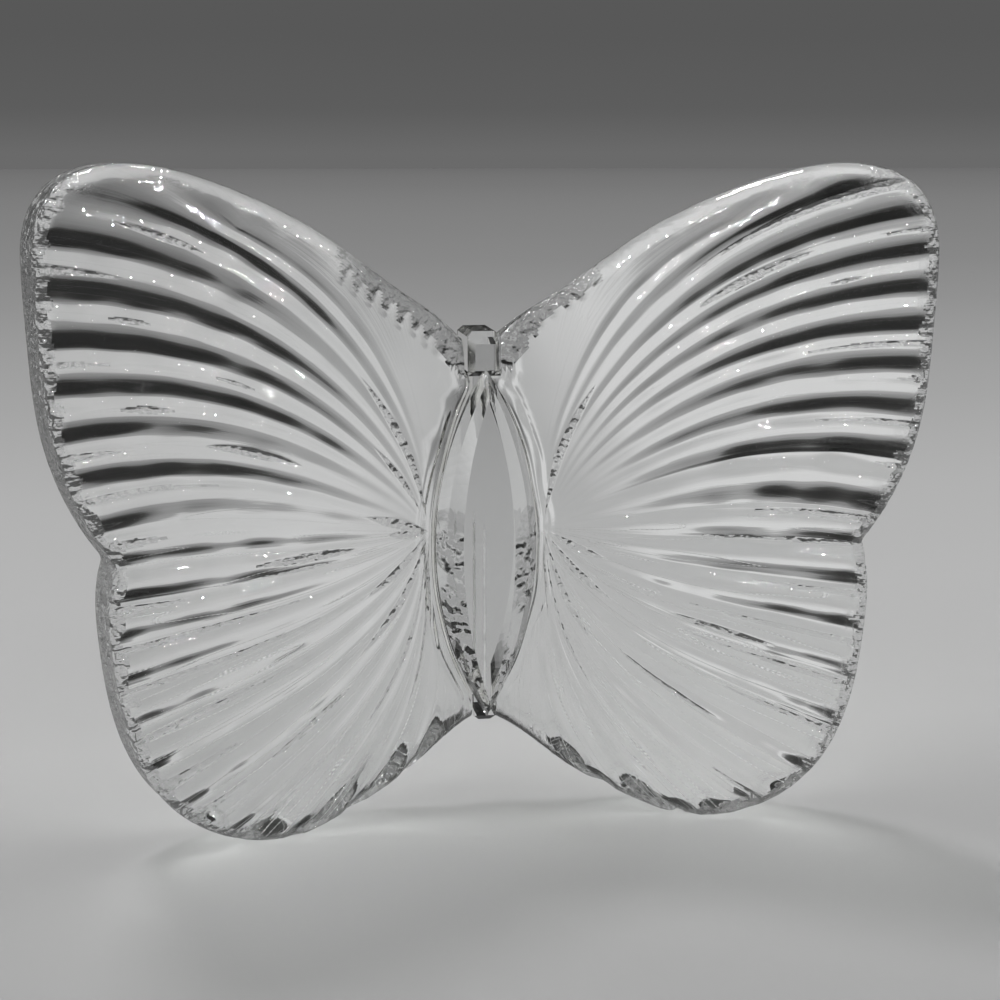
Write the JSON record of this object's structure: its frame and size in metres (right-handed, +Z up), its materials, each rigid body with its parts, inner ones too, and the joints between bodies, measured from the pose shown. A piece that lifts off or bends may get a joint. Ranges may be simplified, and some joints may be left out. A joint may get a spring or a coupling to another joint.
{
  "type": "butterfly ornament",
  "caption": "Clear crystal butterfly that stands on its two hind wings, with fluted wings opened in a shallow V and a faceted upright body.",
  "frame": {"origin": "on the floor, under the middle of the bounding box", "axes": "+Z up, -Y towards the viewer, who looks into the open side of the V; +X towards the wing on the viewer's right"},
  "size_m": [0.1308, 0.0303, 0.0986],
  "materials": {
    "crystal_body": "cut and polished clear crystal",
    "crystal_wing": "pressed and fire-polished clear crystal",
    "optical_cement": "clear cured cement"
  },
  "bodies": {
    "root": {"body": "crystal_body", "right_wing": "crystal_wing", "left_wing": "crystal_wing", "right_cement": "optical_cement", "left_cement": "optical_cement"}
  },
  "joints": []
}
